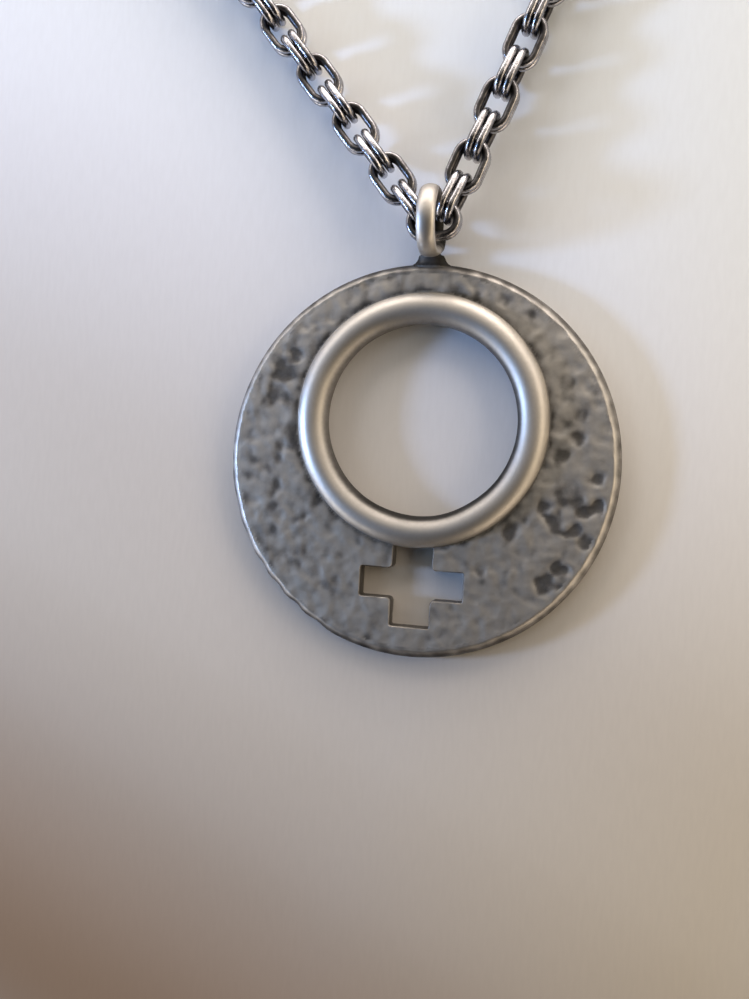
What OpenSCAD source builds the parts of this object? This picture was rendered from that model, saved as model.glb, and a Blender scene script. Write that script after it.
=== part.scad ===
// Female symbol pendant in cast pewter, lying on a surface with its double-link chain.
// Millimetres. +Z is up from the surface, +Y points from the disc to the bail.
// The origin is the centre of the footprint of pendant and chain, on the surface.

/* [Disc] */
// Diameter of the disc
disc_d = 42; // [38:1:46]
// Thickness of the disc
disc_t = 2.0; // [1.6:0.1:2.4]
// Width of the sloping rim, seen from the front
rim_w = 1.1; // [0.6:0.1:1.4]
// Height of the sloping rim
rim_h = 1.0; // [0.6:0.1:1.2]

/* [Ring] */
// Diameter of the ring, measured at the middle of its wire
ring_d = 23.7; // [22:0.1:25]
// Diameter of the ring's wire
ring_wire = 3.4; // [3:0.1:3.8]
// How far the ring sits above the disc's centre
ring_up = 4.3; // [3.5:0.1:5]

/* [Cross] */
// Distance from the disc's centre down to the middle of the crossbar
cross_down = 13.1; // [12.5:0.1:13.5]
// Length of the crossbar
cross_span = 11.0; // [9:0.1:12]
// Height of the crossbar
cross_bar = 3.1; // [2.6:0.1:3.6]
// Width of the stem
cross_stem = 4.2; // [3.6:0.1:4.8]
// Length of the stem below the crossbar
cross_foot = 3.0; // [2:0.1:3.4]

/* [Bail] */
// Diameter of the hole that the chain runs through
bail_hole = 5.0; // [4.9:0.1:5.2]
// Thickness of the bail, measured outwards from its hole
bail_wall = 1.2; // [1.1:0.05:1.3]
// Width of the bail from side to side
bail_w = 2.0; // [1.9:0.05:2.1]
// Distance from the disc's centre to the bail's centre
bail_up = 24.9; // [24.8:0.1:25.1]
// Width of the bail's foot where it spreads onto the rim
foot_w = 4.6; // [3.6:0.1:5.4]

/* [Chain] */
// Pairs of links to each side of the pair that runs through the bail
side_pairs = 61; // [41:2:61]
// Length of one link, over all
link_l = 5.85; // [5.8:0.05:6]
// Width of one link, over all
link_w = 4.0; // [3.9:0.05:4.1]
// Diameter of the link's wire
link_wire = 0.85; // [0.7:0.05:0.85]
// Gap between the two links of a pair
pair_gap = 0.1; // [0.1:0.05:0.2]
// Distance from one pair to the next along the chain
pitch = 3.55; // [3.5:0.05:3.6]
// Angle of the left strand from upright, at the bail
left_lean = 39; // [37:1:41]
// Angle of the right strand from upright, at the bail
right_lean = 21; // [21:1:24]

/* [Clasp] */
// Diameter of the clasp's ring, measured at the middle of its wire
clasp_d = 6.4; // [6.2:0.1:7]
// Diameter of the clasp's wire
clasp_wire = 1.4; // [1.2:0.1:1.5]
// Diameter of the small eye beside it, measured at the middle of its wire
eye_d = 3.2; // [3.1:0.05:3.3]

/* [Hidden] */
$fn = 48;
link_fn = 24;
wire_fn = 16;

// Pendant
disc_r = disc_d / 2;
ring_r = ring_d / 2;
ring_z = ring_wire / 2 - 0.1;       // the ring's back is flat, in line with the disc's
seat_r = ring_r + 0.3;              // hole in the disc that the ring fills
bail_mid = (bail_hole + bail_wall) / 2;
bail_z = bail_mid + bail_wall / 2 + 0.03;
foot_fillet = (foot_w - bail_w) / 2;
foot_t = 1.9;

// Chain: each link has round ends, arc_c from its middle. Even pairs lie flat, odd pairs stand.
arc_c = (link_l - link_w) / 2;
arc_r = (link_w - link_wire) / 2;
hook = pitch - 2 * arc_c;           // from one pair's end centre to the next pair's
side_step = (link_wire + pair_gap) / 2;
strand_z = 2.05;                    // height of the chain's middle where it lies on the surface
bail_pair = [0.4, 24.8, 3.65];      // middle of the pair that runs through the bail
bail_turn = 8;                      // its turn from level
drop = 0.5;                         // each flat pair from the bail lies this much lower

// Sides: -1 is the left strand, 1 the right strand
function lean(side) = side < 0 ? left_lean : right_lean;
function way(side) = [side * sin(lean(side)), cos(lean(side))];
function corner(side) =
    [bail_pair[0], bail_pair[1]] + side * arc_c * [cos(bail_turn), sin(bail_turn)];
function flat_z(j) = max(strand_z, bail_pair[2] - drop * j);
function fall(j) = asin((flat_z(j) - flat_z(j - 1)) / (2 * arc_c));
function standing_span(j) = 2 * hook + 2 * arc_c * cos(fall(j));
function walked(j) = j == 0 ? 0 : walked(j - 1) + standing_span(j) + 2 * arc_c;

// The loop: two straight strands that touch one large circle
half = (left_lean + right_lean) / 2;
function cross2(a, b) = a[0] * b[1] - a[1] * b[0];
function to_corner(side) =
    cross2(corner(1) - corner(-1), way(-side)) / cross2(way(side), way(-side)) * side;
apex = corner(1) - to_corner(1) * way(1);
flats = (side_pairs - 1) / 2;
side_len = walked(flats) + standing_span(flats + 1);
eye_x = (clasp_d + eye_d) / 2 - 0.3;
ring_hook = 3.3;                    // from the clasp ring's centre to the end centre of the last pair
clasp_span = eye_x + ring_hook - hook;
loop_r = (2 * side_len + clasp_span + to_corner(1) + to_corner(-1))
    / (2 * (90 + half) * PI / 180 + 2 / tan(half));
loop_c = apex + loop_r / sin(half) * [cos(90 + (left_lean - right_lean) / 2), sin(90 + (left_lean - right_lean) / 2)];

function straight(side) = loop_r / tan(half) - to_corner(side);
function heading(side, t) =
    90 - side * lean(side) + side * max(0, t - straight(side)) / loop_r * 180 / PI;
function at(side, t) = t < straight(side)
    ? corner(side) + t * way(side)
    : loop_c + loop_r * [cos(heading(side, t) - side * 90), sin(heading(side, t) - side * 90)];

// The footprint's middle, from the pendant's own centre
loop_top = loop_c[1] + loop_r + link_w / 2;
clasp_top = loop_c[1] + loop_r * cos((left_lean - right_lean) / 2) + (clasp_d + clasp_wire) / 2;
foot_mid = [loop_c[0], (max(loop_top, clasp_top) - disc_r) / 2];

module disc() {
    rotate_extrude()
        polygon([[0, 0], [disc_r - 0.3, 0], [disc_r, 0.3], [disc_r, disc_t - rim_h],
                 [disc_r - rim_w * 0.3, disc_t - rim_h * 0.45], [disc_r - rim_w, disc_t], [0, disc_t]]);
}

module cross_opening() {
    translate([-cross_span / 2, -cross_down - cross_bar / 2, -1]) cube([cross_span, cross_bar, disc_t + 2]);
    translate([-cross_stem / 2, -cross_down - cross_bar / 2 - cross_foot, -1])
        cube([cross_stem, cross_foot + cross_down + cross_bar / 2 + ring_up - ring_r, disc_t + 2]);
}

module ring() {
    translate([0, ring_up, 0]) rotate_extrude() intersection() {
        translate([ring_r, ring_z]) circle(d = ring_wire);
        translate([ring_r - ring_wire, 0]) square(2 * ring_wire);
    }
}

module bail_loop() {
    edge = (bail_w - bail_wall) / 2;
    translate([0, bail_up, bail_z]) rotate([0, 90, 0]) rotate_extrude() union() {
        for (s = [-1, 1]) translate([bail_mid, s * edge]) circle(d = bail_wall);
        translate([bail_mid - bail_wall / 2, -edge]) square([bail_wall, 2 * edge]);
    }
}

module bail_foot() {
    reach = bail_up - bail_mid;
    linear_extrude(foot_t) difference() {
        translate([-foot_w / 2, disc_r - 1.2]) square([foot_w, reach - disc_r + 1.8]);
        for (s = [-1, 1]) {
            translate([s * foot_w / 2, disc_r + foot_fillet - 0.2]) circle(r = foot_fillet);
            translate([s * foot_w / 2 - foot_fillet, disc_r + foot_fillet - 0.2])
                square([2 * foot_fillet, 4]);
        }
    }
}

module pendant() {
    color([0.55, 0.54, 0.52]) translate([-foot_mid[0], -foot_mid[1], 0]) union() {
        difference() {
            disc();
            translate([0, ring_up, -1]) cylinder(r = seat_r, h = disc_t + 2);
            cross_opening();
        }
        ring();
        bail_foot();
        bail_loop();
    }
}

// Two links side by side, each of two round ends and two straight bars
module link_pair() {
    for (lift = [-side_step, side_step], s = [-1, 1]) {
        translate([s * arc_c, 0, lift]) rotate(-s * 90)
            rotate_extrude(angle = 180, $fn = link_fn) translate([arc_r, 0]) circle(d = link_wire, $fn = wire_fn);
        translate([-arc_c, s * arc_r, lift]) rotate([0, 90, 0]) cylinder(d = link_wire, h = 2 * arc_c, $fn = wire_fn);
    }
}

// A pair between two points of the loop's plan
module pair_between(a, b, z, roll, tilt) {
    run = b - a;
    translate([(a[0] + b[0]) / 2, (a[1] + b[1]) / 2, z])
        rotate([roll, -tilt, atan2(run[1], run[0])]) link_pair();
}

// Standing pair, flat pair, and so on from the bail to the clasp. The pair in the bail counts as left.
module strand(side) {
    for (j = [0:flats]) {
        t = walked(j);
        span = standing_span(j + 1);
        if (j > 0) pair_between(at(side, t - 2 * arc_c), at(side, t), flat_z(j), 0, 0);
        if (j == 0 && side < 0) pair_between(corner(-1), corner(1), flat_z(0), 0, 0);
        pair_between(at(side, t), at(side, t + span), (flat_z(j) + flat_z(j + 1)) / 2, 90, fall(j + 1));
    }
}

module chain_left() {
    color([0.22, 0.21, 0.21]) translate([-foot_mid[0], -foot_mid[1], 0]) strand(-1);
}

module chain_right() {
    color([0.22, 0.21, 0.21]) translate([-foot_mid[0], -foot_mid[1], 0]) strand(1);
}

module clasp() {
    from = at(-1, side_len);
    to = at(1, side_len);
    run = to - from;
    color([0.22, 0.21, 0.21]) translate([-foot_mid[0], -foot_mid[1], 0])
        translate([from[0], from[1], strand_z]) rotate(atan2(run[1], run[0])) union() {
            rotate_extrude() translate([eye_d / 2, 0]) circle(d = link_wire);
            translate([eye_x, 0, 0]) rotate_extrude() translate([clasp_d / 2, 0]) circle(d = clasp_wire);
        }
}

pendant();
chain_left();
chain_right();
clasp();
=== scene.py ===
# %% [markdown]
# # A cast pewter pendant on its double-link chain
#
# The frame holds the pendant, the two halves of its chain and the clasp at their real size.
# This lesson dresses them: the pewter disc gets its hammered face, its worn rim and the soft
# shapes of a hand-finished casting, and the chain gets round wire links in dark plating.
# Every cell makes one thing and prints what it made.

# %% Load the frame
import math

import bpy
import bmesh
import numpy as np
from mathutils import Matrix, Vector, noise


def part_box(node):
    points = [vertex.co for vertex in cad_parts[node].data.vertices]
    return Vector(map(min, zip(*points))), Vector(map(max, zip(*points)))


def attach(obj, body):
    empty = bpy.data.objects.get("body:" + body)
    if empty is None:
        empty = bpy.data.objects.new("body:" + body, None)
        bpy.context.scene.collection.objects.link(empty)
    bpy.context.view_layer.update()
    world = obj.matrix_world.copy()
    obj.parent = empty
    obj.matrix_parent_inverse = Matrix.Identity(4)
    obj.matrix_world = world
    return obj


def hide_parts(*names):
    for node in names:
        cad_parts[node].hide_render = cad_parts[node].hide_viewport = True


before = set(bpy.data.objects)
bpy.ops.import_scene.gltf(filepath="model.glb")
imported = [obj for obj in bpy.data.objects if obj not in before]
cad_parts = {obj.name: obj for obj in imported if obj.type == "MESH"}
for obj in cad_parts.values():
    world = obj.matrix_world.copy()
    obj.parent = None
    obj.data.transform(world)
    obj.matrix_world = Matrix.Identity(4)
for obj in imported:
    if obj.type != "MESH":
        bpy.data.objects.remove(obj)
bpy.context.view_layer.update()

print("nodes:", sorted(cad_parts))

# %% [markdown]
# ## Sizes
#
# The disc's radius and place are read from the frame, so the dressed pieces land on the solids.
# The other sizes are those of the real pendant, in millimetres times MM. The disc's and the ring's
# come here, because many cells need them. The others stand where they are used first.

# %% Sizes and places
MM = 0.001
pendant_low, pendant_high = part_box("pendant")
DISC_R = (pendant_high.x - pendant_low.x) / 2
CENTRE = Vector(((pendant_low.x + pendant_high.x) / 2, pendant_low.y + DISC_R, 0))

DISC_T = 2.0 * MM
RIM_W = 1.1 * MM
RING_R = 11.85 * MM
RING_WIRE = 3.4 * MM
RING_UP = 4.3 * MM
RING_Z = RING_WIRE / 2 - 0.1 * MM
SAME = 0.01 * MM  # places that lie closer than this count as one
print("disc radius", round(DISC_R / MM, 2), "mm, centre", [round(v / MM, 2) for v in CENTRE])

# %% [markdown]
# ## Working by hand, in code
#
# An operator acts on all that is selected, so each step first says what it works on. These few
# helpers pick one object, pick faces and edges by their place, and apply a modifier once it is set
# up. The frame arrives with its nodes selected, so the first act is to let go of them.

# %% Picking one object
def pick(obj):
    """Makes obj the only selected and active object."""
    bpy.ops.object.select_all(action="DESELECT")
    obj.select_set(True)
    bpy.context.view_layer.objects.active = obj
    return obj


def named(name):
    """Names the primitive that was just added, and its mesh."""
    obj = bpy.context.active_object
    obj.name = name
    obj.data.name = name
    return obj


bpy.ops.object.select_all(action="DESELECT")
print("still selected:", len(bpy.context.selected_objects))


# %% Picking faces and edges
def pick_faces(obj, test):
    """In edit mode, selects the faces whose centre and normal pass the test, and returns how many."""
    bpy.ops.mesh.select_mode(type="FACE")
    bm = bmesh.from_edit_mesh(obj.data)
    count = 0
    for face in bm.faces:
        face.select_set(bool(test(face.calc_center_median(), face.normal)))
        count += face.select
    bmesh.update_edit_mesh(obj.data)
    return count


def pick_edges(obj, test):
    """In edit mode, selects the edges whose two ends pass the test, and returns how many."""
    bpy.ops.mesh.select_mode(type="EDGE")
    bm = bmesh.from_edit_mesh(obj.data)
    for edge in bm.edges:
        edge.select_set(False)
    count = 0
    for edge in bm.edges:
        if test(edge.verts[0].co, edge.verts[1].co):
            edge.select_set(True)
            count += 1
    bmesh.update_edit_mesh(obj.data)
    return count


def extrude(x, y, z):
    """In edit mode, extrudes what is selected by a move."""
    bpy.ops.mesh.extrude_region_move(TRANSFORM_OT_translate={"value": (x, y, z)})


def turn_faces_out():
    """In edit mode, makes every face point outwards."""
    bpy.ops.mesh.select_all(action="SELECT")
    bpy.ops.mesh.normals_make_consistent(inside=False)


print("edit mode helpers:", [helper.__name__ for helper in (pick_faces, pick_edges, extrude, turn_faces_out)])


# %% Applying modifiers and moving points
def apply_modifier(obj, kind, **settings):
    """Adds a modifier with these settings and applies it."""
    pick(obj)
    mod = obj.modifiers.new(kind.lower(), kind)
    for key, value in settings.items():
        setattr(mod, key, value)
    bpy.ops.object.modifier_apply(modifier=mod.name)
    return obj


def combine(obj, other, operation):
    """Joins other to obj, cuts it out or keeps what they share, and deletes other."""
    apply_modifier(obj, "BOOLEAN", operation=operation, solver="MANIFOLD", object=other)
    bpy.data.objects.remove(other)
    return obj


def freeze(obj):
    """Puts the object's place, turn and scale into its mesh."""
    pick(obj)
    bpy.ops.object.transform_apply(location=True, rotation=True, scale=True)
    return obj


def point_array(obj):
    """The places of a mesh's points, one row each."""
    co = np.empty(len(obj.data.vertices) * 3)
    obj.data.vertices.foreach_get("co", co)
    return co.reshape(-1, 3)


def set_points(obj, co):
    """Moves a mesh's points to these places."""
    obj.data.vertices.foreach_set("co", co.ravel())
    obj.data.update()


print("points of the frame's pendant:", len(point_array(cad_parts["pendant"])))

# %% [markdown]
# ## Camera
#
# The pendant lies flat and is seen from straight above, a little from the right. The camera's place
# and turn were fitted once, to the pendant's proportions as they are seen. It comes first, so that
# every later cell can be judged through it.

# %% Camera
PICTURE_H_PX = 999
FOCAL_PX = 1000.0
SENSOR = 36.0
NEAREST = 5 * MM
EYE = Vector((17.1, -2.94, 106.5)) * MM
TURN = [math.radians(a) for a in (0.79, -11.66, -3.61)]


def make_camera():
    """A camera at EYE from the disc's centre, turned about X, Y and Z by TURN."""
    data = bpy.data.cameras.new("camera")
    data.sensor_width = SENSOR
    data.sensor_fit = "AUTO"
    data.lens = FOCAL_PX / PICTURE_H_PX * SENSOR
    data.clip_start = NEAREST
    cam = bpy.data.objects.new("camera", data)
    bpy.context.scene.collection.objects.link(cam)
    rx, ry, rz = (Matrix.Rotation(a, 3, axis) for a, axis in zip(TURN, "XYZ"))
    cam.matrix_world = Matrix.Translation(CENTRE + EYE) @ (rz @ ry @ rx).transposed().to_4x4()
    bpy.context.scene.camera = cam
    return cam


camera = make_camera()
print("camera at", [round(v / MM, 1) for v in camera.location], "mm")

# %% [markdown]
# ## Light
#
# Metal shows its surroundings, so the light is half of its look. A small cool window stands low on
# the left and throws the disc's shadow to the right. Broad, mostly low panels of warmer light stand
# for the room around it. Each light is one soft rectangle that faces the disc, given by its
# direction, distance, size and colour.

# %% Lights
LIGHT_NAMES = ("name", "azimuth", "elevation", "distance", "width", "height", "red", "green", "blue")
LIGHTS = [
    ("window", 185, 18.5, 0.30, 0.04, 0.025, 0.24, 0.36, 0.62),
    ("upper window", 187, 38, 0.50, 0.16, 0.18, 0.05, 0.09, 0.13),
    ("sky", 215, 9, 0.50, 0.36, 0.13, 0.49, 0.47, 0.45),
    ("near wall", 315, 10, 0.50, 0.36, 0.14, 0.46, 0.38, 0.29),
    ("far wall", 90, 26, 0.38, 0.36, 0.15, 0.41, 0.375, 0.34),
    ("far corner", 45, 24, 0.38, 0.32, 0.16, 0.48, 0.43, 0.38),
    ("curtain", 135, 26, 0.38, 0.30, 0.15, 0.47, 0.44, 0.41),
    ("lamp", 0, 25, 0.50, 0.36, 0.20, 0.64, 0.53, 0.38),
    ("shelf", 90, 9, 0.36, 0.34, 0.09, 0.85, 0.77, 0.71),
    ("ceiling", 80, 60, 0.50, 0.42, 0.32, 0.22, 0.20, 0.17),
]


def area_light(row):
    """A soft light that faces the disc; azimuth 0 is +X and 90 is +Y, and the powers are watts."""
    light = dict(zip(LIGHT_NAMES, row))
    powers = (light["red"], light["green"], light["blue"])
    data = bpy.data.lights.new(light["name"], "AREA")
    data.shape = "RECTANGLE"
    data.size = light["width"]
    data.size_y = light["height"]
    data.energy = max(powers)
    data.color = [power / max(powers) for power in powers]
    azimuth = math.radians(light["azimuth"])
    elevation = math.radians(light["elevation"])
    level = math.cos(elevation)
    way = Vector((math.cos(azimuth) * level, math.sin(azimuth) * level, math.sin(elevation)))
    lamp = bpy.data.objects.new(light["name"], data)
    lamp.location = CENTRE + way * light["distance"]
    lamp.rotation_euler = way.to_track_quat("Z", "Y").to_euler()
    bpy.context.scene.collection.objects.link(lamp)
    return lamp


for row in LIGHTS:
    area_light(row)
print("lights:", len(LIGHTS))

# %% Room
ROOM_TONE = (0.80, 0.80, 0.82, 1)
ROOM_STRENGTH = 0.02


def make_world():
    """A faint even light from all sides."""
    world = bpy.data.worlds.new("soft room")
    world.use_nodes = True
    back = world.node_tree.nodes["Background"]
    back.inputs["Color"].default_value = ROOM_TONE
    back.inputs["Strength"].default_value = ROOM_STRENGTH
    bpy.context.scene.world = world
    return world


print("world:", make_world().name)
bpy.context.scene.view_settings.view_transform = "Standard"
bpy.context.scene.view_settings.look = "None"

# %% [markdown]
# ## The sheet it lies on
#
# A pendant is judged best on something plain. One large flat plane stands for a sheet of paper, far
# larger than the picture, so that no edge of it shows and light bounces from it on all sides.

# %% Floor
FLOOR_SIDE = 1.6


def make_floor():
    """A plane at the height of the surface."""
    bpy.ops.mesh.primitive_plane_add(size=FLOOR_SIDE, location=(0, 0, 0))
    floor = named("floor")
    return floor


floor = make_floor()
print("floor:", [round(v, 2) for v in floor.dimensions], "m")

# %% [markdown]
# ## The disc's hammered face
#
# The face was cast from a wrinkled, hammered model: soft lumps about a millimetre and a half across,
# with dark pits among them, most of them on the right side. A flat disc with a bumpy material would
# look right from the front only. Here a fine grid is lifted point by point into a slab with that
# relief, and the slab is then cut to the round blank, so rim and cross keep true edges.
#
# The lumps are the cells of a Voronoi pattern that noise has pushed about. A second, softer noise and
# a fine grain lie on top. Blender takes the start of its noise vectors from the clock, so a seed is
# set first, and the face comes out the same in every run.

# %% Lumps
NOISE_SEED = 1
noise.seed_set(NOISE_SEED)
LUMP = 1.5 * MM
GRAIN = 0.8 * MM
LUMP_HEIGHT = 0.065 * MM
WANDER_SCALE, WANDER = 0.7, 0.55
DIMPLE_WIDTH = 0.8
DIMPLE_MEAN = 0.45
DIMPLE_SHARE, SOFT_SHARE, GRAIN_SHARE = 0.8, 0.7, 0.25
SOFT_SCALE, SOFT_LAYER = 1.1, Vector((7.1, 3.3, 0))
GRAIN_LAYER = 4.0


def lumps(x, y):
    """Height of the casting's dimples and grain at a point of the face, about -1 to 1."""
    p = Vector((x / LUMP, y / LUMP, 0.0))
    q = p + noise.noise_vector(p * WANDER_SCALE) * WANDER
    ridge = min(1.0, noise.voronoi(q)[0][0] / DIMPLE_WIDTH)
    dimple = ridge * ridge * (3 - 2 * ridge)
    soft = noise.noise(q * SOFT_SCALE + SOFT_LAYER)
    fine = noise.noise(Vector((x / GRAIN, y / GRAIN, GRAIN_LAYER)))
    return DIMPLE_SHARE * (dimple - DIMPLE_MEAN) + SOFT_SHARE * soft + GRAIN_SHARE * fine


def noise_over(x, y, size, layer):
    """Smooth noise of one grain size, about -0.6 to 0.6, for arrays of places."""
    return np.array([noise.noise(Vector((a / size, b / size, layer))) for a, b in zip(x, y)])


sample = [lumps(x * MM, 0) * LUMP_HEIGHT / MM for x in range(-20, 21)]
print("lumps from", round(min(sample), 3), "to", round(max(sample), 3), "mm")

# %% [markdown]
# ## Pits
#
# The pits are single dark hollows, and the eye knows the pendant by where they lie. So they are a
# list: place from the disc's centre, radius and depth, in millimetres. Noise keeps them from being
# round. A shallow groove follows the ring, where the two forms meet.

# %% Pits and seam
PIT_NAMES = ("x", "y", "radius", "depth")
PITS = [
    (18.6, -0.9, 0.62, 0.42), (15.8, -2.8, 1.25, 0.26), (17.6, -4.4, 0.66, 0.42), (18.8, -3.6, 0.55, 0.38),
    (14.5, -5.7, 0.85, 0.34), (16.6, -6.3, 0.62, 0.42), (17.8, -7.4, 0.72, 0.34), (13.5, -4.1, 0.62, 0.28),
    (15.0, -10.3, 0.60, 0.40), (15.9, -10.4, 0.45, 0.32), (14.0, -12.2, 0.90, 0.32), (10.1, -6.8, 0.80, 0.22),
    (7.2, -11.1, 0.55, 0.24), (14.9, 1.4, 0.75, 0.22), (8.0, 17.2, 0.60, 0.20), (5.3, 18.1, 0.55, 0.16),
    (14.7, 8.6, 0.70, 0.20), (16.3, 3.1, 0.62, 0.26), (16.5, 5.5, 0.60, 0.20), (-13.9, 10.7, 0.60, 0.22),
    (-15.4, 9.1, 1.05, 0.20), (-15.9, 6.5, 0.90, 0.20), (-15.2, 0.9, 0.75, 0.18), (-6.5, 18.3, 0.60, 0.16),
]
PIT_SHARE = 0.32
PIT_SPREAD = 1.25
PIT_EDGE_GRAIN, PIT_EDGE_LAYER, PIT_EDGE_WANDER = 0.9 * MM, 9.0, 0.4
SEAM_OUT = 0.97
SEAM_DEPTH = 0.07 * MM
SEAM_W = 0.45 * MM


def hill(away, width):
    """A soft hill, 1 where away is 0 and nearly gone at twice the width."""
    return np.exp(-(away / width) ** 2)


def pit_depth(x, y):
    """Depth of the dark pits in millimetres, for arrays of places from the disc's centre."""
    ragged = 1 + PIT_EDGE_WANDER * noise_over(x, y, PIT_EDGE_GRAIN, PIT_EDGE_LAYER)
    deep = np.zeros(len(x))
    for row in PITS:
        pit = dict(zip(PIT_NAMES, row))
        from_middle = np.hypot(x - pit["x"] * MM, y - pit["y"] * MM)
        deep += pit["depth"] * np.exp(-(from_middle / (PIT_SPREAD * pit["radius"] * MM) * ragged) ** 4)
    return deep


def face_height(points):
    """Heights above the disc's plain face, in metres, for points given from the disc's centre."""
    x, y = points[:, 0], points[:, 1]
    lumpy = np.array([lumps(a, b) for a, b in zip(x, y)]) * LUMP_HEIGHT
    from_seam = np.hypot(x, y - RING_UP) - RING_R - SEAM_OUT * RING_WIRE / 2
    return lumpy - PIT_SHARE * pit_depth(x, y) * MM - SEAM_DEPTH * hill(from_seam, SEAM_W)


print("pits:", len(PITS), "the deepest", round(PIT_SHARE * max(row[3] for row in PITS), 2), "mm")

# %% [markdown]
# ## The relief slab
#
# A grid fine enough for the smallest pit is lifted to those heights. Extruded down past the surface,
# it becomes a closed slab that can be cut like any solid.

# %% Relief slab
GRID_STEP = 0.2 * MM
SLAB_MARGIN = 1.0 * MM
SLAB_DEPTH = 4 * MM


def relief_slab():
    """A square slab whose top carries the relief and whose bottom lies below the surface."""
    side = 2 * DISC_R + SLAB_MARGIN
    cells = int(side / GRID_STEP)
    bpy.ops.mesh.primitive_grid_add(x_subdivisions=cells, y_subdivisions=cells, size=side,
                                    location=CENTRE + Vector((0, 0, DISC_T)))
    slab = freeze(named("pendant_cast"))
    co = point_array(slab)
    co[:, 2] += face_height(co - np.array([CENTRE.x, CENTRE.y, 0]))
    set_points(slab, co)
    pick(slab)
    bpy.ops.object.mode_set(mode="EDIT")
    bpy.ops.mesh.select_all(action="SELECT")
    extrude(0, 0, -SLAB_DEPTH)
    turn_faces_out()
    bpy.ops.object.mode_set(mode="OBJECT")
    return slab


pendant = relief_slab()
print("relief slab:", len(pendant.data.polygons), "faces")

# %% [markdown]
# ## The blank with its rim
#
# The rim is a polished slope that runs round the face, a little wavy where the file caught it,
# with shallow dents in the outline at the lower left. A cylinder is bevelled along its upper and
# lower edge, and its side is pushed in where the dents are. What the slab and this blank share is
# the disc.

# %% Outline dents
DENT_NAMES = ("angle", "spread", "depth")
DENTS = [
    (207, 3.5, 0.10), (216, 3.0, 0.22), (224, 3.5, 0.30),
    (232, 3.0, 0.34), (240, 3.5, 0.24), (196, 4.0, 0.10),
]
WAVE_DEPTH = 0.03
WAVES, WAVE_LAYER = 3, Vector((0, 0, 2))


def turned(angle, middle):
    """How far an angle lies from a middle one, -180 to 180 degrees."""
    return (angle - middle + 180) % 360 - 180


def outline_dent(angle):
    """How far the outline is pushed in at an angle in degrees, in metres."""
    way = Vector((math.cos(math.radians(angle)), math.sin(math.radians(angle)), 0))
    depth = WAVE_DEPTH * (1 + noise.noise(way * WAVES + WAVE_LAYER))
    for row in DENTS:
        dent = dict(zip(DENT_NAMES, row))
        depth += dent["depth"] * math.exp(-(turned(angle, dent["angle"]) / dent["spread"]) ** 2)
    return depth * MM


print("deepest dent:", round(max(outline_dent(a) for a in range(360)) / MM, 2), "mm")

# %% Blank
LUMP_ROOM = 0.2 * MM
RIM_CURVE = 0.42
UNDER_EDGE = 0.3 * MM
DENT_REACH = 0.15


def disc_blank():
    """The disc without its relief, a little too high so that the lumps fit under its top."""
    top = DISC_T + LUMP_ROOM
    bpy.ops.mesh.primitive_cylinder_add(vertices=360, radius=DISC_R, depth=top,
                                        location=CENTRE + Vector((0, 0, top / 2)))
    blank = freeze(named("disc_blank"))
    pick(blank)
    bpy.ops.object.mode_set(mode="EDIT")
    pick_edges(blank, lambda a, b: min(a.z, b.z) > top - SAME)
    bpy.ops.mesh.bevel(offset=RIM_W + LUMP_ROOM, segments=8, profile=RIM_CURVE, affect="EDGES")
    pick_edges(blank, lambda a, b: max(a.z, b.z) < SAME)
    bpy.ops.mesh.bevel(offset=UNDER_EDGE, segments=3, profile=0.5, affect="EDGES")
    bpy.ops.object.mode_set(mode="OBJECT")
    co = point_array(blank)
    dx, dy = co[:, 0] - CENTRE.x, co[:, 1] - CENTRE.y
    r = np.hypot(dx, dy)
    push = np.array([outline_dent(a) for a in np.degrees(np.arctan2(dy, dx)) % 360])
    near_edge = np.clip((r - (1 - DENT_REACH) * DISC_R) / (DENT_REACH * DISC_R), 0, 1)
    share = 1 - push * near_edge / np.maximum(r, MM)
    co[:, 0] = CENTRE.x + dx * share
    co[:, 1] = CENTRE.y + dy * share
    set_points(blank, co)
    return blank


combine(pendant, disc_blank(), "INTERSECT")
print("face cut to the blank:", len(pendant.data.polygons), "faces")

# %% [markdown]
# ## The cross opening
#
# The cross is cut right through, with arms a little rounded at their ends and its upper arm running
# up under the ring. A cutter in the shape of a plus grows from one block by extruding its sides. Its
# underside is inset twice on the way down, so the cut gets a soft upper edge like a cast one.

# %% Arms of the cross
CROSS_DOWN = 13.1 * MM
CROSS_SPAN = 11.0 * MM
CROSS_BAR = 3.1 * MM
CROSS_STEM = 4.2 * MM
CROSS_FOOT = 3.0 * MM
CORNER_ROUND = 0.32 * MM
FACING = 0.9  # a face whose normal has this share along a way looks that way
BLOCK_REACH = 0.6  # faces of the first block lie closer to its middle than this share of its size


def grow_arms(cutter, stem, bar):
    """In edit mode, extrudes the four sides of the block into the arms of the cross."""
    def block_side(centre, normal):
        looks = normal.x * way[0] + normal.y * way[1] > FACING
        from_middle = (abs(centre.x - CENTRE.x), abs(centre.y - CENTRE.y + CROSS_DOWN))
        return looks and from_middle[0] < BLOCK_REACH * stem and from_middle[1] < BLOCK_REACH * bar

    arm = (CROSS_SPAN - CROSS_STEM) / 2
    up = CROSS_DOWN - CROSS_BAR / 2 + RING_UP - RING_R
    for way, reach in (((1, 0), arm), ((-1, 0), arm), ((0, -1), CROSS_FOOT), ((0, 1), up)):
        pick_faces(cutter, block_side)
        extrude(way[0] * reach, way[1] * reach, 0)


def round_corners(cutter):
    """In edit mode, rounds the upright edges of the cross, except where it runs under the ring."""
    def corner(a, b):
        upright = abs(a.x - b.x) + abs(a.y - b.y) < SAME
        return upright and a.y - CENTRE.y < CROSS_BAR - CROSS_DOWN

    pick_edges(cutter, corner)
    bpy.ops.mesh.bevel(offset=CORNER_ROUND, segments=4, profile=0.5, affect="EDGES")


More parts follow.
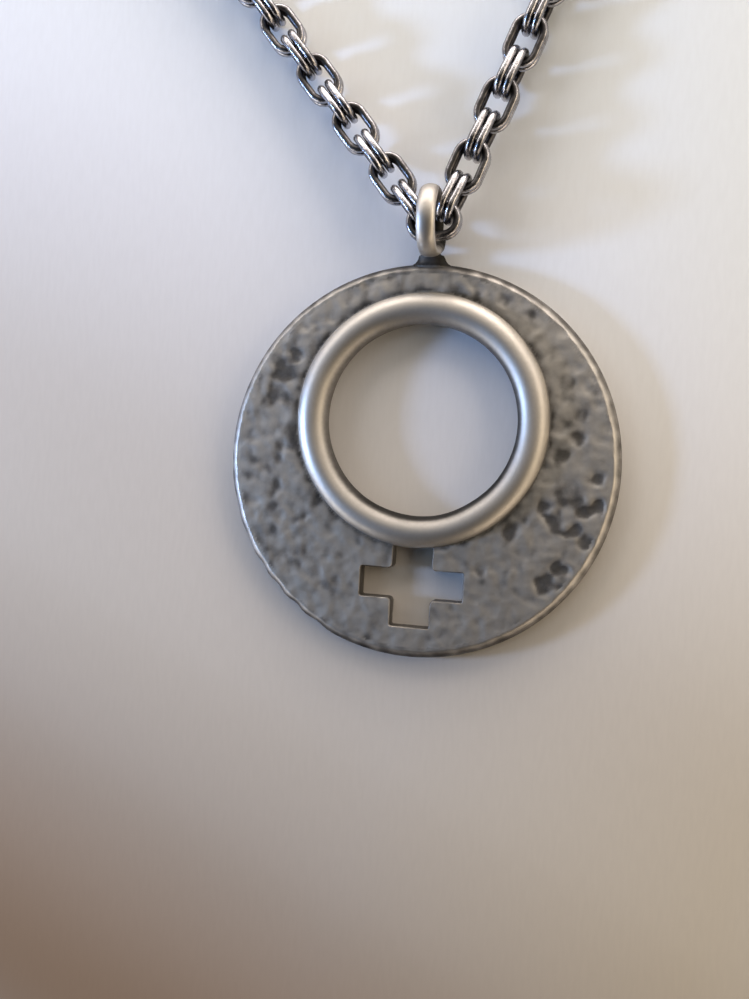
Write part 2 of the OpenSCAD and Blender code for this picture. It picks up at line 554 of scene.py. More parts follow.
print("cross:", round(CROSS_SPAN / MM, 1), "mm wide, its stem", round(CROSS_STEM / MM, 1), "mm")

# %% Cross cutter
MOUTH = 0.16 * MM
MOUTH_STEPS = ((0.11, 0.16), (0.05, 0.22))  # inset and fall of each step, in millimetres
CUTTER_RISE, CUTTER_T = 0.6 * MM, 0.4 * MM
CUTTER_DROP, CUTTER_DEPTH = 0.35 * MM, 3 * MM


def pick_underside(cutter):
    """In edit mode, selects the lowest faces of the cutter."""
    lowest = min(v.co.z for v in bmesh.from_edit_mesh(cutter.data).verts)
    pick_faces(cutter, lambda centre, normal: normal.z < -FACING and centre.z < lowest + SAME)


def cross_cutter():
    """A plus that is wide at the face and narrows by two small steps below it."""
    stem, bar = CROSS_STEM + 2 * MOUTH, CROSS_BAR + 2 * MOUTH
    bpy.ops.mesh.primitive_cube_add(size=1, scale=(stem, bar, CUTTER_T),
                                    location=CENTRE + Vector((0, -CROSS_DOWN, DISC_T + CUTTER_RISE)))
    cutter = freeze(named("cross_cutter"))
    pick(cutter)
    bpy.ops.object.mode_set(mode="EDIT")
    grow_arms(cutter, stem, bar)
    round_corners(cutter)
    pick_underside(cutter)
    extrude(0, 0, -CUTTER_DROP)
    for thickness, fall in MOUTH_STEPS:
        pick_underside(cutter)
        bpy.ops.mesh.inset(thickness=thickness * MM, depth=0)
        bpy.ops.transform.translate(value=(0, 0, -fall * MM))
    extrude(0, 0, -CUTTER_DEPTH)
    turn_faces_out()
    bpy.ops.object.mode_set(mode="OBJECT")
    return cutter


cutter = cross_cutter()
print("cross cutter:", len(cutter.data.polygons), "faces")

# %% Openings
HOLE_UNDER_RING = 0.3 * MM
HOLE_DEPTH = 10 * MM


def ring_hole_cutter():
    """A cylinder that clears the disc under the ring."""
    bpy.ops.mesh.primitive_cylinder_add(vertices=180, radius=RING_R + HOLE_UNDER_RING, depth=HOLE_DEPTH,
                                        location=CENTRE + Vector((0, RING_UP, 0)))
    return freeze(named("ring_hole_cutter"))


combine(pendant, ring_hole_cutter(), "DIFFERENCE")
combine(pendant, cutter, "DIFFERENCE")
print("face with its openings:", len(pendant.data.polygons), "faces")

# %% [markdown]
# ## The ring
#
# The ring is round wire, a touch uneven from filing, and its back is flat with the disc's. A torus
# gets a slow ripple of a few hundredths of a millimetre, is cut level at the surface and then
# becomes one solid with the face.

# %% Ring
RIPPLE, RIPPLE_LENGTH = 0.035, 5 * MM
ROOM_ABOVE = 60 * MM


def round_ring():
    """The uneven torus, kept where it lies above the surface."""
    bpy.ops.mesh.primitive_torus_add(major_radius=RING_R, minor_radius=RING_WIRE / 2, major_segments=200,
                                     minor_segments=44, location=CENTRE + Vector((0, RING_UP, RING_Z)))
    ring = freeze(named("ring"))
    middle = np.array([CENTRE.x, CENTRE.y + RING_UP, RING_Z])
    from_middle = point_array(ring) - middle
    spoke = from_middle * [1, 1, 0]
    spoke *= (RING_R / np.hypot(spoke[:, 0], spoke[:, 1]))[:, None]
    swell = np.array([noise.noise(Vector(tuple(p / RIPPLE_LENGTH))) * RIPPLE for p in from_middle])
    set_points(ring, middle + spoke + (from_middle - spoke) * (1 + swell)[:, None])
    bpy.ops.mesh.primitive_cube_add(size=ROOM_ABOVE, location=CENTRE + Vector((0, 0, ROOM_ABOVE / 2)))
    return combine(ring, freeze(named("above_surface")), "INTERSECT")


combine(pendant, round_ring(), "UNION")
print("face and ring:", len(pendant.data.polygons), "faces")

# %% [markdown]
# ## The bail and its foot
#
# The loop that the chain runs through is a flattened round ring that stands on edge, and its foot
# spreads onto the rim like a drop of metal. Both are blocked out roughly, remeshed into one skin
# and smoothed, which melts the joint between them, and then fused to the disc.

# %% Loop of the bail
BAIL_HOLE = 5.0 * MM
BAIL_WALL = 1.2 * MM
BAIL_W = 2.0 * MM
BAIL_UP = 24.9 * MM
BAIL_R = (BAIL_HOLE + BAIL_WALL) / 2
BAIL_Z = BAIL_R + BAIL_WALL / 2 + 0.03 * MM
NECK_SWELL = 0.4
NECK_H, NECK_DROP = 2 * MM, 1 * MM


def bail_loop():
    """A torus on edge, stretched sideways, and wider where it meets its foot."""
    bpy.ops.mesh.primitive_torus_add(major_radius=BAIL_R, minor_radius=BAIL_WALL / 2, major_segments=96,
                                     minor_segments=24, rotation=(0, math.radians(90), 0),
                                     location=CENTRE + Vector((0, BAIL_UP, BAIL_Z)))
    loop = named("bail")
    loop.scale = (1, 1, BAIL_W / BAIL_WALL)
    freeze(loop)
    co = point_array(loop)
    by_foot = co[:, 1] < CENTRE.y + BAIL_UP - NECK_DROP
    neck = np.clip((BAIL_Z - co[:, 2]) / NECK_H, 0, 1) * by_foot
    co[:, 0] = CENTRE.x + (co[:, 0] - CENTRE.x) * (1 + NECK_SWELL * neck)
    set_points(loop, co)
    return loop


print("bail:", round(2 * (BAIL_R + BAIL_WALL / 2) / MM, 1), "mm across")

# %% Foot of the bail
FOOT_W = 4.6 * MM
FOOT_TOP = 1.9 * MM
FOOT_LOW = DISC_R - 1.2 * MM
FOOT_NARROW = 1.3
FLARE_BACK, FLARE_LENGTH = 0.15 * MM, 1.3 * MM
RIM_FALL_FROM = DISC_R - 0.2 * MM
SIDE_FALL, RIM_FALL, MOST_FALL = 0.5, 0.12, 0.6


def bail_foot():
    """A block that narrows from the rim to the loop, rounded down at its sides."""
    reach = BAIL_UP - BAIL_R
    bpy.ops.mesh.primitive_cube_add(size=1, scale=(FOOT_W, reach - FOOT_LOW, FOOT_TOP),
                                    location=CENTRE + Vector((0, (FOOT_LOW + reach) / 2, FOOT_TOP / 2)))
    foot = freeze(named("foot"))
    pick(foot)
    bpy.ops.object.mode_set(mode="EDIT")
    bpy.ops.mesh.select_all(action="SELECT")
    bpy.ops.mesh.subdivide(number_cuts=12)
    bpy.ops.object.mode_set(mode="OBJECT")
    co = point_array(foot)
    along = np.clip((co[:, 1] - CENTRE.y - DISC_R + FLARE_BACK) / FLARE_LENGTH, 0, 1)
    narrow = 1 - (1 - FOOT_NARROW * BAIL_W / FOOT_W) * np.sqrt(1 - (1 - along) ** 2)
    across = (co[:, 0] - CENTRE.x) / (FOOT_W / 2)
    inward = np.clip((RIM_FALL_FROM - (co[:, 1] - CENTRE.y)) / MM, 0, 1)
    fall = SIDE_FALL * np.abs(across) ** 3 * (1 - along) + RIM_FALL * inward
    co[:, 2] *= 1 - np.clip(fall, 0, MOST_FALL)
    co[:, 0] = CENTRE.x + (co[:, 0] - CENTRE.x) * narrow
    set_points(foot, co)
    return foot


print("foot:", round(FOOT_W / MM, 1), "mm wide, narrowing to", round(FOOT_NARROW * BAIL_W / MM, 1), "mm")

# %% Bail fused to the disc
SKIN_STEP = 0.1 * MM
MELT_ROUNDS = 9
SHARP_FROM = math.radians(50)


def bail():
    """Loop and foot as one smooth skin."""
    skin = combine(bail_loop(), bail_foot(), "UNION")
    apply_modifier(skin, "REMESH", mode="VOXEL", voxel_size=SKIN_STEP)
    return apply_modifier(skin, "SMOOTH", factor=0.5, iterations=MELT_ROUNDS)


combine(pendant, bail(), "UNION")
bpy.ops.object.shade_smooth_by_angle(angle=SHARP_FROM)
apply_modifier(pendant, "WEIGHTED_NORMAL", keep_sharp=True)
print("pendant:", len(pendant.data.polygons), "faces")

# %% [markdown]
# ## Chain links
#
# The chain is a double-link chain: every link is a pair of round wire links side by side. One link is
# modelled from a torus whose two halves are moved apart, and a copy goes onto each link of the
# frame, so the dressed chain lies exactly where the solids do. Links near the pendant have round
# wire. The other links, about two hundred, have few faces, since nobody sees them close by.

# %% One link
LINK_L = 5.85 * MM
LINK_W = 4.0 * MM
LINK_WIRE = 0.85 * MM
# Each link carries film, and painted shade on its inner side where the links interlock.
LINK_FILM, LINK_INNER_FILM_AND_SHADE = 0.35, 0.3


def set_patina_and_shade(obj, values):
    """Stores how much dark film and painted shade each point carries, from 0 to 1."""
    attribute = obj.data.attributes.new("patina_and_shade", "FLOAT", "POINT")
    attribute.data.foreach_set("value", np.clip(values, 0, 1).astype(np.float32))


def one_link(name, around, through):
    """A round wire link with its film, and painted shade on its inner side."""
    rounds = (LINK_W - LINK_WIRE) / 2
    apart = (LINK_L - LINK_W) / 2
    bpy.ops.mesh.primitive_torus_add(major_radius=rounds, minor_radius=LINK_WIRE / 2, major_segments=around,
                                     minor_segments=through, rotation=(0, 0, math.pi / around))
    link = freeze(named(name))
    co = point_array(link)
    inward = np.clip((rounds - np.hypot(co[:, 0], co[:, 1])) / (LINK_WIRE / 2), -1, 1)
    co[:, 0] += np.sign(co[:, 0]) * apart
    set_points(link, co)
    set_patina_and_shade(link, LINK_FILM + LINK_INNER_FILM_AND_SHADE * inward)
    return link


fine_link = one_link("fine_link", 28, 10)
plain_link = one_link("plain_link", 12, 6)
print("links:", len(fine_link.data.polygons), "and", len(plain_link.data.polygons), "faces")

# %% [markdown]
# ## Where the links lie
#
# A chain node is one mesh of many loose solids. Points that lie together are merged, triangles that
# share a point get the same number, and each number is one link. Its middle is the mean of its
# surface, and its long, broad and thin way are the axes along which that surface spreads.

# %% Places of the links
POINT_STEP_MM = 0.001


def solid_numbers(corners, count):
    """The number of the loose solid that each triangle belongs to."""
    label = np.arange(count)
    while True:
        lower = label.copy()
        for k in range(3):
            np.minimum.at(lower, corners[:, k], label[corners].min(axis=1))
        lower = lower[lower]
        if (lower == label).all():
            return label[corners[:, 0]]
        label = lower


def middle_and_axes(a, b, c):
    """The frame of one solid, from the corners of its triangles."""
    centres = (a + b + c) / 3
    areas = np.linalg.norm(np.cross(b - a, c - a), axis=1) / 2
    middle = (centres * areas[:, None]).sum(0) / areas.sum()
    spread = (centres - middle) * np.sqrt(areas)[:, None]
    axes = np.linalg.eigh(spread.T @ spread)[1][:, ::-1]
    if np.linalg.det(axes) < 0:
        axes[:, 2] *= -1
    return Matrix.Translation(middle) @ Matrix(axes.tolist()).to_4x4()


def link_frames(node):
    """Middle and axes of each link in a chain node of the frame."""
    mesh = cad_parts[node].data
    mesh.calc_loop_triangles()
    corners = np.empty(len(mesh.loop_triangles) * 3, np.int32)
    mesh.loop_triangles.foreach_get("vertices", corners)
    steps = np.round(point_array(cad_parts[node]) / (POINT_STEP_MM * MM)).astype(np.int64)
    place, merged = np.unique(steps, axis=0, return_inverse=True)
    corners = merged.ravel()[corners].reshape(-1, 3)
    numbers = solid_numbers(corners, len(place))
    frames = []
    for number in np.unique(numbers):
        mine = corners[numbers == number]
        frames.append(middle_and_axes(*(place[mine[:, k]] * POINT_STEP_MM * MM for k in range(3))))
    return frames


LEFT_FRAMES = link_frames("chain_left")
RIGHT_FRAMES = link_frames("chain_right")
print("links found:", len(LEFT_FRAMES), "and", len(RIGHT_FRAMES))

# %% Chain
NEAR_BAIL = 42 * MM


def dress_chain(name, frames):
    """Copies a link onto every frame and joins the copies into one piece."""
    bm = bmesh.new()
    bail_place = CENTRE + Vector((0, BAIL_UP, 0))
    for place in frames:
        link = fine_link if (place.translation - bail_place).length < NEAR_BAIL else plain_link
        mesh = link.data.copy()
        mesh.transform(place)
        bm.from_mesh(mesh)
        bpy.data.meshes.remove(mesh)
    mesh = bpy.data.meshes.new(name)
    bm.to_mesh(mesh)
    bm.free()
    chain = bpy.data.objects.new(name, mesh)
    bpy.context.scene.collection.objects.link(chain)
    pick(chain)
    bpy.ops.object.shade_smooth()
    return chain


chain_left = dress_chain("left_links", LEFT_FRAMES)
chain_right = dress_chain("right_links", RIGHT_FRAMES)
for link in (fine_link, plain_link):
    bpy.data.objects.remove(link)
print("chain:", len(chain_left.data.polygons), "and", len(chain_right.data.polygons), "faces")

# %% [markdown]
# ## Materials
#
# A material here is a small graph of nodes. Writing a graph out link by link is long, so five helpers
# make a material, a node with its inputs filled, one sum, a row of colours along a value and the
# product of two colours.

# %% Shader helpers
def new_material(name):
    """A node material with its Principled shader."""
    material = bpy.data.materials.new(name)
    material.use_nodes = True
    return material, material.node_tree, material.node_tree.nodes["Principled BSDF"]


def add_node(tree, kind, settings=(), inputs=()):
    """Adds a node, sets its settings, and fills or links its inputs by name or number."""
    made = tree.nodes.new(kind)
    for key, value in dict(settings).items():
        setattr(made, key, value)
    for key, value in dict(inputs).items():
        if isinstance(value, bpy.types.NodeSocket):
            tree.links.new(value, made.inputs[key])
        else:
            made.inputs[key].default_value = value
    return made


def maths(tree, operation, a, b=0.0, clamp=False):
    """The result of one Math node."""
    settings = {"operation": operation, "use_clamp": clamp}
    return add_node(tree, "ShaderNodeMath", settings, {0: a, 1: b}).outputs[0]


def ramp(tree, value, stops, interpolation="LINEAR"):
    """Colours or greys along a value, from (position, colour) stops."""
    made = add_node(tree, "ShaderNodeValToRGB", inputs={"Fac": value})
    made.color_ramp.interpolation = interpolation
    steps = made.color_ramp.elements
    while len(steps) < len(stops):
        steps.new(0.5)
    for step, (position, colour) in zip(steps, stops):
        step.position = position
        step.color = (*colour, 1) if isinstance(colour, tuple) else (colour, colour, colour, 1)
    return made.outputs["Color"]


def multiply(tree, a, b):
    """Two colours multiplied."""
    made = add_node(tree, "ShaderNodeMix", {"data_type": "RGBA", "blend_type": "MULTIPLY"}, {
        "Factor": 1.0, "A": a, "B": b})
    return made.outputs["Result"]


print("materials so far:", len(bpy.data.materials))

# %% [markdown]
# ## Ageing
#
# Pewter and plating age alike: the hollows hold a dark film and the high places are rubbed bright.
# The pendant and the links carry an attribute named patina_and_shade, from 0 where they are rubbed to
# 1 deep in a hollow; it also holds painted shade in creases and on shaded sides, and a painted
# highlight. The small clasp has one value all over. One node group breaks that value up with noise
# of two sizes and gives the mask of film and painted shade and a fine height, for any metal that asks.

# %% Ageing group
BROAD_SCALE = 0.22


def ageing_group():
    """A node group that turns a value of film and painted shade into a mask and a height."""
    group = bpy.data.node_groups.new("ageing", "ShaderNodeTree")
    for name, kind in (("Vector", "NodeSocketVector"), ("Patina and Shade", "NodeSocketFloat"),
                       ("Grain Scale", "NodeSocketFloat"), ("Grain Amount", "NodeSocketFloat")):
        group.interface.new_socket(name, in_out="INPUT", socket_type=kind)
    for name in ("Film and Shade", "Height"):
        group.interface.new_socket(name, in_out="OUTPUT", socket_type="NodeSocketFloat")
    start = group.nodes.new("NodeGroupInput").outputs
    end = group.nodes.new("NodeGroupOutput").inputs
    fine = add_node(group, "ShaderNodeTexNoise", inputs={
        "Vector": start["Vector"], "Scale": start["Grain Scale"], "Detail": 5.0, "Roughness": 0.6})
    broad_scale = maths(group, "MULTIPLY", start["Grain Scale"], BROAD_SCALE)
    broad = add_node(group, "ShaderNodeTexNoise", inputs={
        "Vector": start["Vector"], "Scale": broad_scale, "Detail": 3.0})
    mixed = maths(group, "ADD", maths(group, "MULTIPLY", fine.outputs["Fac"], 0.5),
                  maths(group, "MULTIPLY", broad.outputs["Fac"], 0.5))
    centred = maths(group, "SUBTRACT", mixed, 0.5)
    speckle = maths(group, "MULTIPLY", centred, start["Grain Amount"])
    film_and_shade = maths(group, "ADD", start["Patina and Shade"], speckle, clamp=True)
    group.links.new(film_and_shade, end["Film and Shade"])
    group.links.new(fine.outputs["Fac"], end["Height"])
    return group


AGEING = ageing_group()
print("ageing group:", len(AGEING.nodes), "nodes")

# %% [markdown]
# ## Pewter and dark plating
#
# Pewter is a soft grey tin metal: satin where hands rub it, nearly black where its film stays. The
# chain is brass under a dark plating, a little smoother and more broken up by wear. Two separate
# graphs would drift apart as they are adjusted, so both are made by one function with other values.

# %% Aged metal
def aged_metal(name, colours, roughness, grain_scale, grain_amount, bump, patina_and_shade=None):
    """A metal whose colour and roughness follow its film and painted shade: the patina_and_shade attribute,
    or one value.
    """
    material, tree, shader = new_material(name)
    coords = add_node(tree, "ShaderNodeTexCoord").outputs["Object"]
    if patina_and_shade is None:
        patina_and_shade = add_node(tree, "ShaderNodeAttribute", {"attribute_name": "patina_and_shade"}).outputs["Fac"]
    ageing = add_node(tree, "ShaderNodeGroup", {"node_tree": AGEING}, {
        "Vector": coords, "Patina and Shade": patina_and_shade, "Grain Scale": grain_scale, "Grain Amount": grain_amount})
    film_and_shade = ageing.outputs["Film and Shade"]
    tree.links.new(ramp(tree, film_and_shade, colours), shader.inputs["Base Color"])
    tree.links.new(ramp(tree, film_and_shade, roughness), shader.inputs["Roughness"])
    shader.inputs["Metallic"].default_value = 1.0
    relief = add_node(tree, "ShaderNodeBump", inputs={
        "Strength": 1.0, "Distance": bump, "Height": ageing.outputs["Height"]})
    tree.links.new(relief.outputs["Normal"], shader.inputs["Normal"])
    return material


PEWTER = aged_metal(
    "cast pewter",
    colours=[(0.0, (0.65, 0.61, 0.56)), (0.35, (0.46, 0.435, 0.405)),
             (0.7, (0.16, 0.15, 0.14)), (1.0, (0.04, 0.038, 0.036))],
    roughness=[(0.0, 0.44), (0.13, 0.50), (0.4, 0.55), (1.0, 0.66)],
    grain_scale=2600.0, grain_amount=0.35, bump=0.01 * MM)
print("metal:", PEWTER.name)

# %% Plating
PLATING = {
    "colours": [(0.0, (0.50, 0.49, 0.52)), (0.35, (0.145, 0.138, 0.143)),
                (0.7, (0.035, 0.033, 0.034)), (1.0, (0.015, 0.014, 0.014))],
    "roughness": [(0.0, 0.22), (1.0, 0.40)],
    "grain_scale": 1700.0, "grain_amount": 1.1, "bump": 0.05 * MM,
}
GUNMETAL = aged_metal("dark plating", **PLATING)
CLASP_PLATING = aged_metal("dark plating of the clasp", patina_and_shade=LINK_FILM, **PLATING)
print("metals:", GUNMETAL.name, "and", CLASP_PLATING.name)

# %% [markdown]
# ## Patina and painted shade of the face and the rim
#
# When a casting is rubbed by hand, film stays in its pits and, in soft spots, all over the face. The
# groove around the ring holds film and painted shade, and painted shade darkens the face towards the
# left. The spots make most of the face's look, so they are noise of three sizes. The rim is polished;
# painted shade lies down its slope and on its top and bottom stretches. Everything is worked out
# from where a point lies, so no picture has to be painted.

# %% Film and painted shade on the face
SPOT_NAMES = ("strength", "size", "layer", "stretch")
SPOTS = [(0.42, 1.5, 11.0, 0.8), (0.26, 0.8, 13.0, 0.8), (0.22, 3.5, 6.0, 1.0)]
# Painted shade: the face is darkened towards the left.
LEFT_SHADE, LEFT_REACH, RIGHT_LIMIT = 0.11, 15 * MM, -0.3
FACE_FILM, LIFT_RUB, FIELD_RUB = 0.30, 0.20, 0.04
FACE_LEAST, FACE_MOST = 0.04, 0.76
PIT_FILM = 1.9
FIELD_X, FIELD_Y = 15.5 * MM, -6 * MM
FIELD_W, FIELD_H = 3.5 * MM, 7 * MM
# Film and painted contact shade in the groove along the ring.
SEAM_FILM_AND_SHADE, SEAM_SPREAD = 0.20, 0.6 * MM


def face_spots(x, y):
    """Film in soft spots, with painted shade towards the left."""
    film_and_shade = LEFT_SHADE * np.clip(-x / LEFT_REACH, RIGHT_LIMIT, 1)
    for row in SPOTS:
        spot = dict(zip(SPOT_NAMES, row))
        film_and_shade += spot["strength"] * noise_over(x, spot["stretch"] * y, spot["size"] * MM, spot["layer"])
    return film_and_shade


def face_film_and_shade(x, y, z, from_wire):
    """The hammered face: film in spots and pits, less of it on lumps and by the pits, painted shade towards
    the left, and film with painted shade in the groove.
    """
    pits = pit_depth(x, y)
    lift = (z - DISC_T + PIT_SHARE * pits * MM) / LUMP_HEIGHT
    pit_field = hill(x - FIELD_X, FIELD_W) * hill(y - FIELD_Y, FIELD_H)
    film_and_shade = FACE_FILM - LIFT_RUB * lift - FIELD_RUB * pit_field + face_spots(x, y)
    film_and_shade = np.maximum(film_and_shade, FACE_LEAST) + PIT_FILM * pits
    return np.minimum(film_and_shade, FACE_MOST) + SEAM_FILM_AND_SHADE * hill(from_wire, SEAM_SPREAD)


print("spots of film:", len(SPOTS), "sizes")

# %% Film and painted shade on the rim
# Painted shade down the rim's slope and on its top and bottom stretches; the worn spots are real wear.
RIM_FILM, SLOPE_SHADE, WORN_FILM = 0.05, 0.35, 0.28
SLOPE_FROM, SLOPE_H = DISC_T - 0.06 * MM, 0.35 * MM
WORN_GRAIN, WORN_LAYER = 1.1 * MM, 3.0
SHADED_RIM_NAMES = ("angle", "spread", "film_and_shade")
SHADED_RIM = [(90, 45, 0.30), (262, 42, 0.28)]


def rim_film_and_shade(x, y, z):
    """The rim: film worn in spots, painted shade down its slope and on its top and bottom stretches."""
    around = np.degrees(np.arctan2(y, x)) % 360
    film_and_shade = RIM_FILM + SLOPE_SHADE * np.clip((SLOPE_FROM - z) / SLOPE_H, 0, 1)
    for row in SHADED_RIM:
        shaded = dict(zip(SHADED_RIM_NAMES, row))
        film_and_shade += shaded["film_and_shade"] * hill(turned(around, shaded["angle"]), shaded["spread"])
    return film_and_shade + WORN_FILM * noise_over(x, y, WORN_GRAIN, WORN_LAYER)


print("dull stretches of the rim:", len(SHADED_RIM))

# %% [markdown]
# ## Patina and painted shade of the ring and the bail
#
# Fingers rub the ring's crown. Its inner side is dark with film and painted shade, most of all at the
# bottom and the lower right, where a painted dark line of shade runs along the hole. Painted shade with
# film lies on its outside where it meets the face, and a painted highlight brightens its outer flank on
# the left. The chain rubs the bail; its neck, where no finger reaches, is dark with film and painted
# shade, and painted shade darkens its top. The underside and the low walls, those of the cross among
# them, are dark with film and painted shade as well.

# %% Film, painted shade and a painted highlight on the ring
# Film and painted shade on the ring's inner side, with more painted shade at the bottom.
INNER_FILM_AND_SHADE, INNER_LOW_SHADE = 0.36, 0.32
INNER_FROM, INNER_LOW_FROM, INNER_SPREAD = 24, 14, 45
# A painted dark line of shade along the hole, strongest at the lower right.
INNER_LINE_SHADE, LINE_FROM, LINE_SPREAD = 0.38, 40, 14
LINE_MEAN, LINE_SWING, LINE_TURN, LINE_LEAST = 0.45, 0.75, 40, 0.1
# A painted highlight: the ring's left outer flank is made brighter and smoother.
GLINT, GLINT_ANGLE, GLINT_SPREAD, GLINT_TILT = 0.08, 185, 45, 15
# Painted shade, with film, where the ring's outside meets the face.
OUTER_FILM_AND_SHADE, OUTER_H = 0.4, 0.35 * MM


def ring_film_and_shade(x, y, z):
    """Film and painted shade on the ring, and a painted highlight on its left; the tilt is measured in
    degrees from the wire's crown, outwards.
    """
    out = np.hypot(x, y - RING_UP) - RING_R
    tilt = np.degrees(np.arctan2(out, z - RING_Z))
    ring_angle = np.degrees(np.arctan2(y - RING_UP, x)) % 360
    low_side = np.clip((RING_UP - y) / RING_R, 0, 1)
    inner = np.clip((-tilt - INNER_FROM + INNER_LOW_FROM * low_side) / INNER_SPREAD, 0, 1)
    line_side = np.clip(LINE_MEAN + LINE_SWING * np.cos(np.radians(ring_angle + LINE_TURN)), LINE_LEAST, 1)
    shade_line = INNER_LINE_SHADE * line_side * np.clip((-tilt - LINE_FROM) / LINE_SPREAD, 0, 1)
    glint = GLINT * hill(ring_angle - GLINT_ANGLE, GLINT_SPREAD) * np.clip(tilt / GLINT_TILT, 0, 1)
    low_outside = np.clip((DISC_T + OUTER_H - z) / OUTER_H, 0, 1) * (out > 0)
    return (INNER_FILM_AND_SHADE + INNER_LOW_SHADE * low_side) * inner + shade_line - glint + OUTER_FILM_AND_SHADE * low_outside


print("film deep inside the ring:", round(INNER_FILM_AND_SHADE + INNER_LOW_SHADE, 2), "at the bottom")

# %% Film and painted shade on the bail, and the whole pendant
PLAIN_FILM = 0.15
BAIL_RUB = 0.08
# Film and painted shade at the bail's neck.
NECK_FILM_AND_SHADE, NECK_TOP = 0.35, 2.7 * MM
# Painted shade towards the top of the bail.
BAIL_TOP_SHADE, BAIL_TOP_FROM, BAIL_TOP_SPREAD = 0.35, BAIL_UP + 0.8 * MM, 2 * MM
# Film and painted shade on the underside and the low walls.
WALL_FILM_AND_SHADE, WALL_TOP = 0.45, 0.9 * MM
WIRE_SKIN = 0.12 * MM
FACE_FROM, FACE_TO = DISC_T - 0.75 * MM, DISC_T + 0.3 * MM
RIM_FROM = 0.5 * MM
RIM_INNER = DISC_R - RIM_W - 0.1 * MM
NECK_LOW = DISC_R - 0.3 * MM


def bail_film_and_shade(y, z):
    """The bail: film and painted shade at its neck, painted shade towards its top, rubbed between them."""
    neck = (y > NECK_LOW) & (z < NECK_TOP)
    top = np.clip((y - BAIL_TOP_FROM) / BAIL_TOP_SPREAD, 0, 1)
    return NECK_FILM_AND_SHADE * neck - BAIL_RUB * (y > DISC_R) + BAIL_TOP_SHADE * top


def pendant_patina_and_shade(obj):
    """The film and painted shade of every point of the pendant, from where the point lies."""
    x, y, z = (point_array(obj) - np.array(CENTRE)).T
    from_wire = np.hypot(np.hypot(x, y - RING_UP) - RING_R, z - RING_Z) - RING_WIRE / 2
    on_ring = np.abs(from_wire) < WIRE_SKIN
    inside_rim = np.hypot(x, y) < RIM_INNER
    on_face = (z > FACE_FROM) & (z < FACE_TO) & ~on_ring & inside_rim
    on_rim = (z > RIM_FROM) & (z < FACE_TO) & ~on_ring & ~inside_rim
    film_and_shade = np.where(on_face, face_film_and_shade(x, y, z, from_wire), PLAIN_FILM)
    film_and_shade += np.where(on_rim, rim_film_and_shade(x, y, z), 0)
    film_and_shade += np.where(on_ring, ring_film_and_shade(x, y, z), 0)
    film_and_shade += np.where((z < WALL_TOP) & ~on_ring, WALL_FILM_AND_SHADE, 0)
    return film_and_shade + bail_film_and_shade(y, z)


set_patina_and_shade(pendant, pendant_patina_and_shade(pendant))
print("patina set on", len(pendant.data.vertices), "points")

# %% [markdown]
# ## The paper
#
# The pendant lies on pale laid paper with a faint upright grain. Broad stripes would distract, so the
# grain is one noise, stretched along the sheet, that tints the paper by a few hundredths. Light and
# shade are painted into the sheet's colour: painted window light makes it bluish white at the top,
# painted shade makes it brown grey at the lower left, and painted warm lamp light makes it warmer
# towards the right.

# %% Floor material
# Painted light and shade on the paper: bluish white window light at the top, brown grey shade at the lower
# left.
PAINTED_LIGHT_WAY = 0.45
PAINTED_LIGHT_REACH = 110 * MM
PAINTED_LIGHT_TONES = [
    (0.0, (0.52, 0.47, 0.42)), (0.14, (0.30, 0.21, 0.14)),
    (0.225, (0.36, 0.265, 0.19)), (0.30, (0.48, 0.41, 0.345)),
    (0.38, (0.62, 0.565, 0.505)), (0.5, (0.70, 0.665, 0.64)),
    (0.62, (0.88, 0.885, 0.92)), (0.74, (0.93, 0.965, 1.0)),
]
WHITE = (1.0, 1.0, 1.0)
# Painted warm lamp light towards the right of the paper.
PAINTED_WARM_LIGHT = (1.0, 0.93, 0.78)
WARM_LIGHT_SLANT = 0.3
WARM_LIGHT_FROM = CENTRE.x - WARM_LIGHT_SLANT * CENTRE.y + 8 * MM
WARM_LIGHT_TO = CENTRE.x - WARM_LIGHT_SLANT * CENTRE.y + 46 * MM
GRAIN_STRETCH = (2300, 420, 1)
GRAIN_TINT = [(0.35, (0.978, 0.977, 0.976)), (0.65, WHITE)]
PAPER_BUMP = 0.01 * MM
PAPER_ROUGHNESS = 0.9


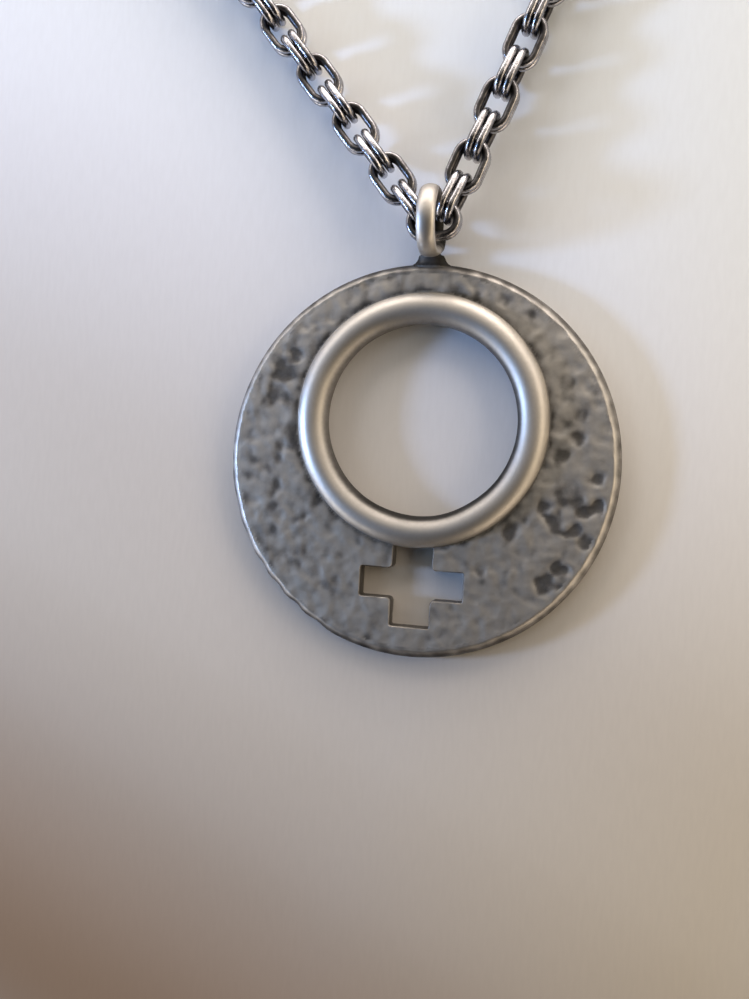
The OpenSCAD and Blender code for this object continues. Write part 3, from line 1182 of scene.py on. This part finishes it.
def painted_sheet_light(tree, place):
    """Painted light and shade on the paper: along the sheet painted window light and shade, across it painted
    warm lamp light.
    """
    along = maths(tree, "ADD", maths(tree, "MULTIPLY", place["X"], PAINTED_LIGHT_WAY), place["Y"])
    spread = add_node(tree, "ShaderNodeMapRange", inputs={
        "Value": along, "From Min": CENTRE.y - PAINTED_LIGHT_REACH, "From Max": CENTRE.y + PAINTED_LIGHT_REACH})
    across = maths(tree, "SUBTRACT", place["X"], maths(tree, "MULTIPLY", place["Y"], WARM_LIGHT_SLANT))
    warm_light_part = add_node(tree, "ShaderNodeMapRange", inputs={
        "Value": across, "From Min": WARM_LIGHT_FROM, "From Max": WARM_LIGHT_TO})
    painted_warmth = ramp(tree, warm_light_part.outputs[0], [(0.0, WHITE), (1.0, PAINTED_WARM_LIGHT)])
    return multiply(tree, ramp(tree, spread.outputs[0], PAINTED_LIGHT_TONES, "CARDINAL"), painted_warmth)


def paper():
    """Pale paper with an upright grain, and painted light and shade in its colour."""
    material, tree, shader = new_material("pale floor")
    coords = add_node(tree, "ShaderNodeTexCoord").outputs["Object"]
    stretched = add_node(tree, "ShaderNodeMapping", inputs={"Vector": coords, "Scale": GRAIN_STRETCH})
    grain = add_node(tree, "ShaderNodeTexNoise", inputs={
        "Vector": stretched.outputs[0], "Scale": 1.0, "Detail": 3.0})
    place = add_node(tree, "ShaderNodeSeparateXYZ", inputs={0: coords}).outputs
    tone_and_light = multiply(tree, painted_sheet_light(tree, place), ramp(tree, grain.outputs["Fac"], GRAIN_TINT))
    tree.links.new(tone_and_light, shader.inputs["Base Color"])
    shader.inputs["Roughness"].default_value = PAPER_ROUGHNESS
    relief = add_node(tree, "ShaderNodeBump", inputs={
        "Strength": 0.5, "Distance": PAPER_BUMP, "Height": grain.outputs["Fac"]})
    tree.links.new(relief.outputs["Normal"], shader.inputs["Normal"])
    return material


PAPER = paper()
print("paper:", len(PAPER.node_tree.nodes), "nodes")

# %% [markdown]
# ## Each piece gets its material
#
# A piece has one material here, because each is of one metal. The clasp stays the frame's own node,
# as it is hidden in use and plain, and takes the plating with one value of film.

# %% Materials on the pieces
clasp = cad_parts["clasp"]
for piece, material in ((pendant, PEWTER), (chain_left, GUNMETAL), (chain_right, GUNMETAL),
                        (clasp, CLASP_PLATING), (floor, PAPER)):
    piece.data.materials.clear()
    piece.data.materials.append(material)
    print(piece.name, "is in", material.name)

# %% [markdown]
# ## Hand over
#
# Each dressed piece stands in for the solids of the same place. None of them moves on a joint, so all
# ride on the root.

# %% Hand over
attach(pendant, "root")
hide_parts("pendant")
for piece, node_name in ((chain_left, "chain_left"), (chain_right, "chain_right")):
    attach(piece, "root")
    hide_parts(node_name)
print("handed over:", pendant.name, chain_left.name, "and", chain_right.name)
